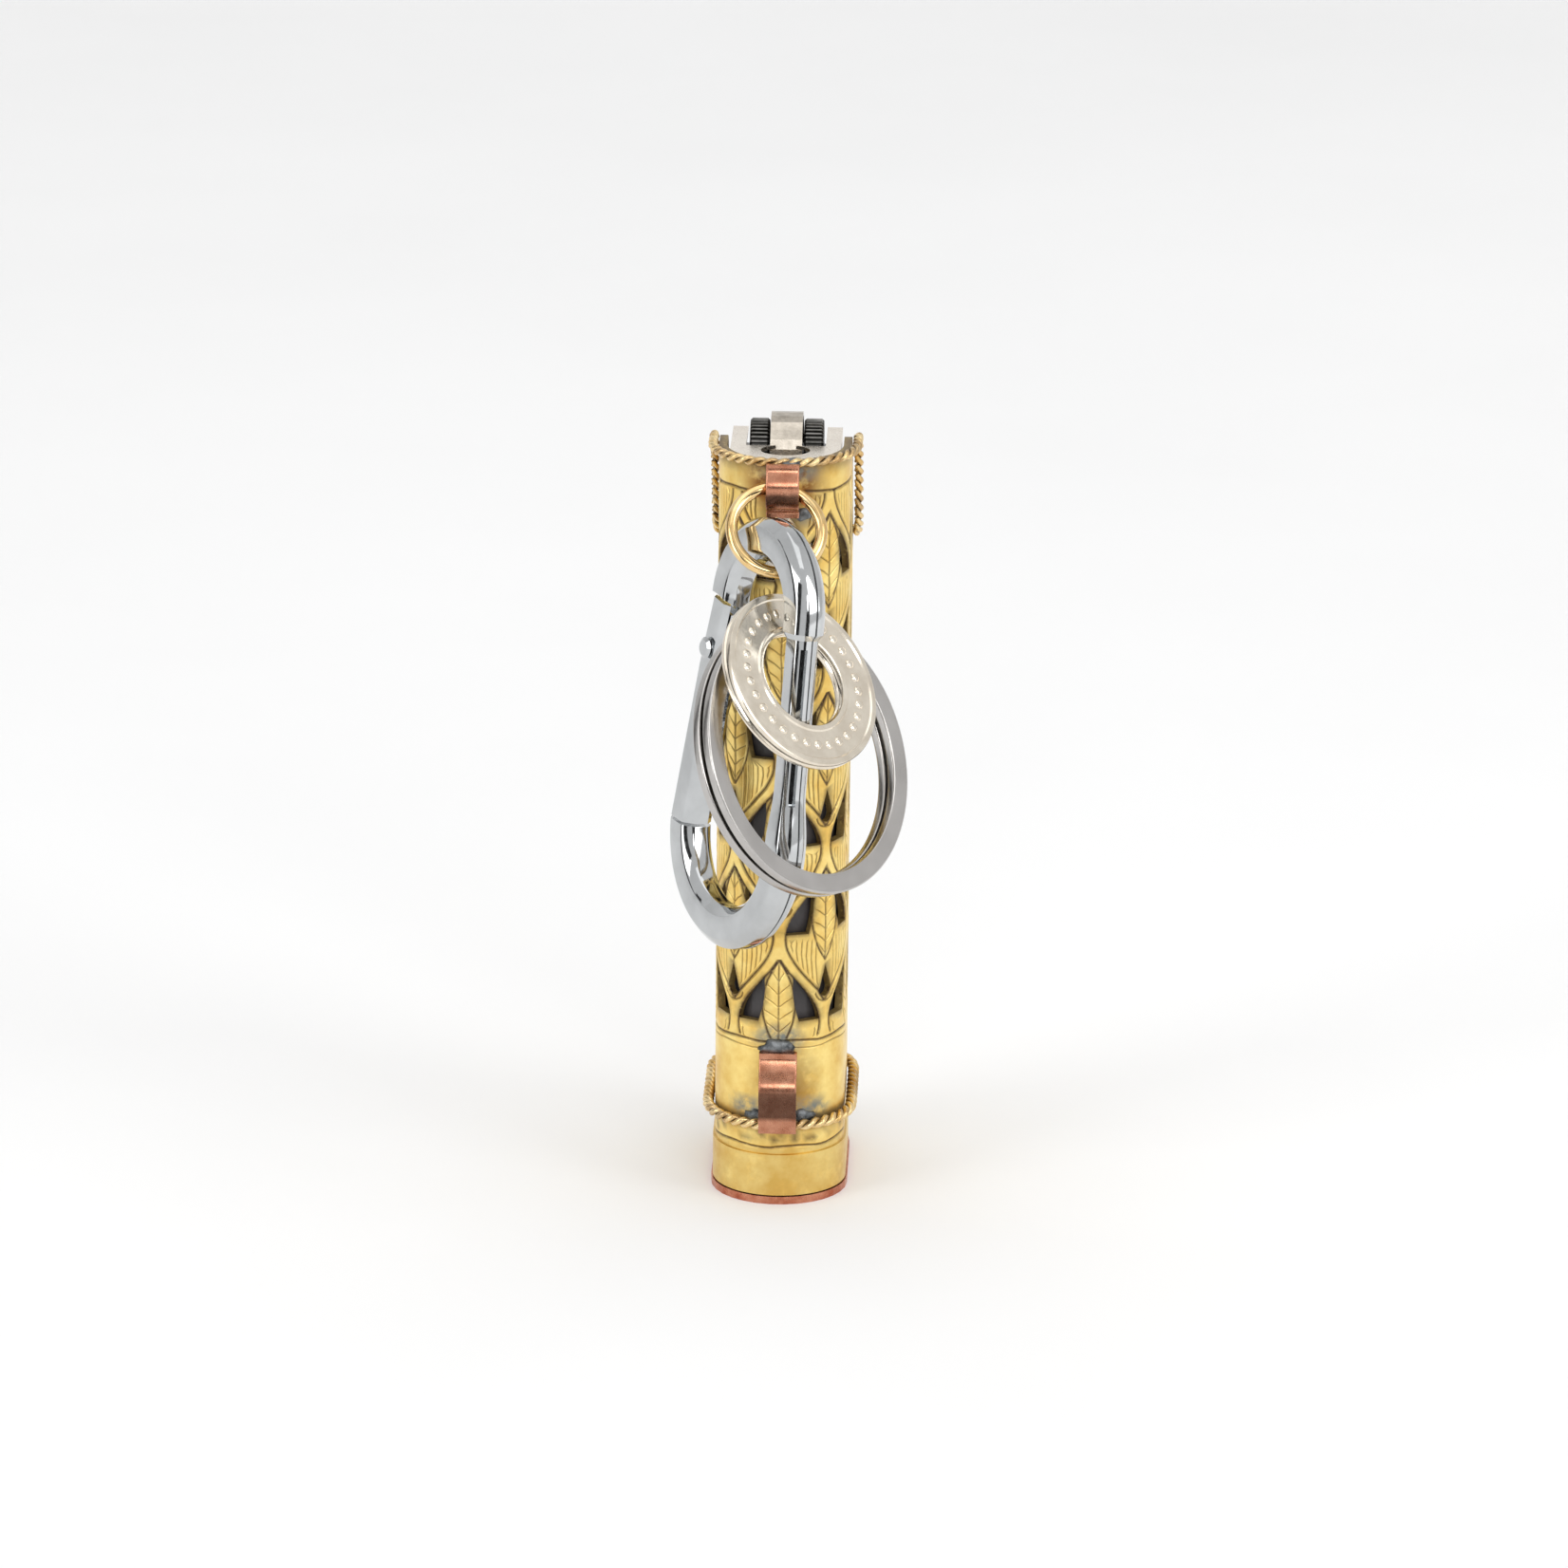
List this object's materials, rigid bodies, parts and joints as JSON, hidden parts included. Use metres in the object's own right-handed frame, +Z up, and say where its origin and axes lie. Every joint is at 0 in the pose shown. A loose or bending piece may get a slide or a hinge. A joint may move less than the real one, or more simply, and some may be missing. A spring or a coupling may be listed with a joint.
{
  "type": "lighter case keyring",
  "caption": "Pierced oval metal sleeve with a swept rim that holds a slim flint lighter, with a jump ring, spring-gate snap hook, split ring and washer tag at its narrow end.",
  "frame": {"origin": "centre of the base plate's underside", "axes": "+Z up the case, +X across its narrow end, -Y out of the narrow end that carries the straps and the hook"},
  "size_m": [0.0239, 0.0504, 0.0803],
  "materials": {
    "brass": "worn, hand-finished satin",
    "polished_brass": "polished wire",
    "copper": "dull copper, toned",
    "chrome_plate": "plated, bright",
    "ring_steel": "satin",
    "stamped_nickel": "stamped, semi-bright",
    "pressed_nickel": "pressed sheet, semi-bright",
    "drawn_steel": "drawn",
    "wheel_steel": "dark, knurled",
    "tank_plastic": "gloss moulded",
    "lever_plastic": "matt moulded"
  },
  "bodies": {
    "case": {"case_sleeve": "brass", "base_plate": "copper", "rim_twist_wire": "brass", "foot_twist_wire": "brass", "upper_strap_loop": "copper", "lower_strap_loop": "copper"},
    "lighter": {"lighter_tank": "tank_plastic", "tank_base_plug": "tank_plastic", "lighter_hood": "pressed_nickel", "wheel_guard": "pressed_nickel", "flint": "wheel_steel", "flint_spring": "drawn_steel", "wheel_axle": "drawn_steel"},
    "jet_valve": {"jet_valve": "brass"},
    "spark_wheel": {"striker_wheel": "wheel_steel", "thumb_wheel_left": "wheel_steel", "thumb_wheel_right": "wheel_steel"},
    "gas_lever": {"gas_lever": "lever_plastic"},
    "jump_ring": {"jump_ring": "polished_brass"},
    "snap_hook": {"hook_frame": "chrome_plate", "gate_rivet": "chrome_plate"},
    "gate": {"gate": "chrome_plate", "gate_spring": "drawn_steel"},
    "split_ring": {"split_ring": "ring_steel"},
    "tag": {"tag_front": "stamped_nickel", "tag_back": "stamped_nickel"}
  },
  "joints": [
    {"name": "lighter_slide", "type": "slide", "parent": "case", "child": "lighter", "axis": [0, 0, 1], "range_m": [0, 0.085]},
    {"name": "spark_wheel_spin", "type": "hinge", "parent": "lighter", "child": "spark_wheel", "pos_m": [0, 0.0009, 0.0763], "axis": [1, 0, 0], "continuous": true},
    {"name": "gas_lever_press", "type": "hinge", "parent": "lighter", "child": "gas_lever", "pos_m": [0, 0.0009, 0.0706], "axis": [-1, 0, 0], "range_deg": [0, 5]},
    {"name": "jet_valve_lift", "type": "slide", "parent": "lighter", "child": "jet_valve", "axis": [0, 0, 1], "range_m": [0, 0.00053], "stiffness_N_per_m": 200, "springref_m": -0.001},
    {"name": "jump_ring_swing", "type": "hinge", "parent": "case", "child": "jump_ring", "pos_m": [-0.0005, -0.01275, 0.07615], "axis": [-0.9877, -0.1249, 0.0941], "range_deg": [0, 70]},
    {"name": "snap_hook_swing", "type": "hinge", "parent": "jump_ring", "child": "snap_hook", "pos_m": [-0.00099, -0.01821, 0.06903], "axis": [-0.9877, -0.1249, 0.0941], "range_deg": [0, 25]},
    {"name": "gate_swing", "type": "hinge", "parent": "snap_hook", "child": "gate", "pos_m": [-0.00608, -0.01258, 0.05944], "axis": [-0.8446, -0.5154, 0.1451], "range_deg": [0, 22], "stiffness_Nm_per_rad": 0.02, "springref_deg": -17.19},
    {"name": "split_ring_swing", "type": "hinge", "parent": "snap_hook", "child": "split_ring", "pos_m": [0.0018, -0.0268, 0.05474], "axis": [0.052, 0.1901, 0.9804], "range_deg": [-10, 10]},
    {"name": "tag_turn", "type": "hinge", "parent": "split_ring", "child": "tag", "pos_m": [0.00219, -0.02585, 0.06004], "axis": [0.6319, -0.5108, 0.5829], "continuous": true}
  ],
  "couplings": [
    {"joint": "gas_lever_press", "follows": "jet_valve_lift", "rad_per_m": 163.93}
  ]
}
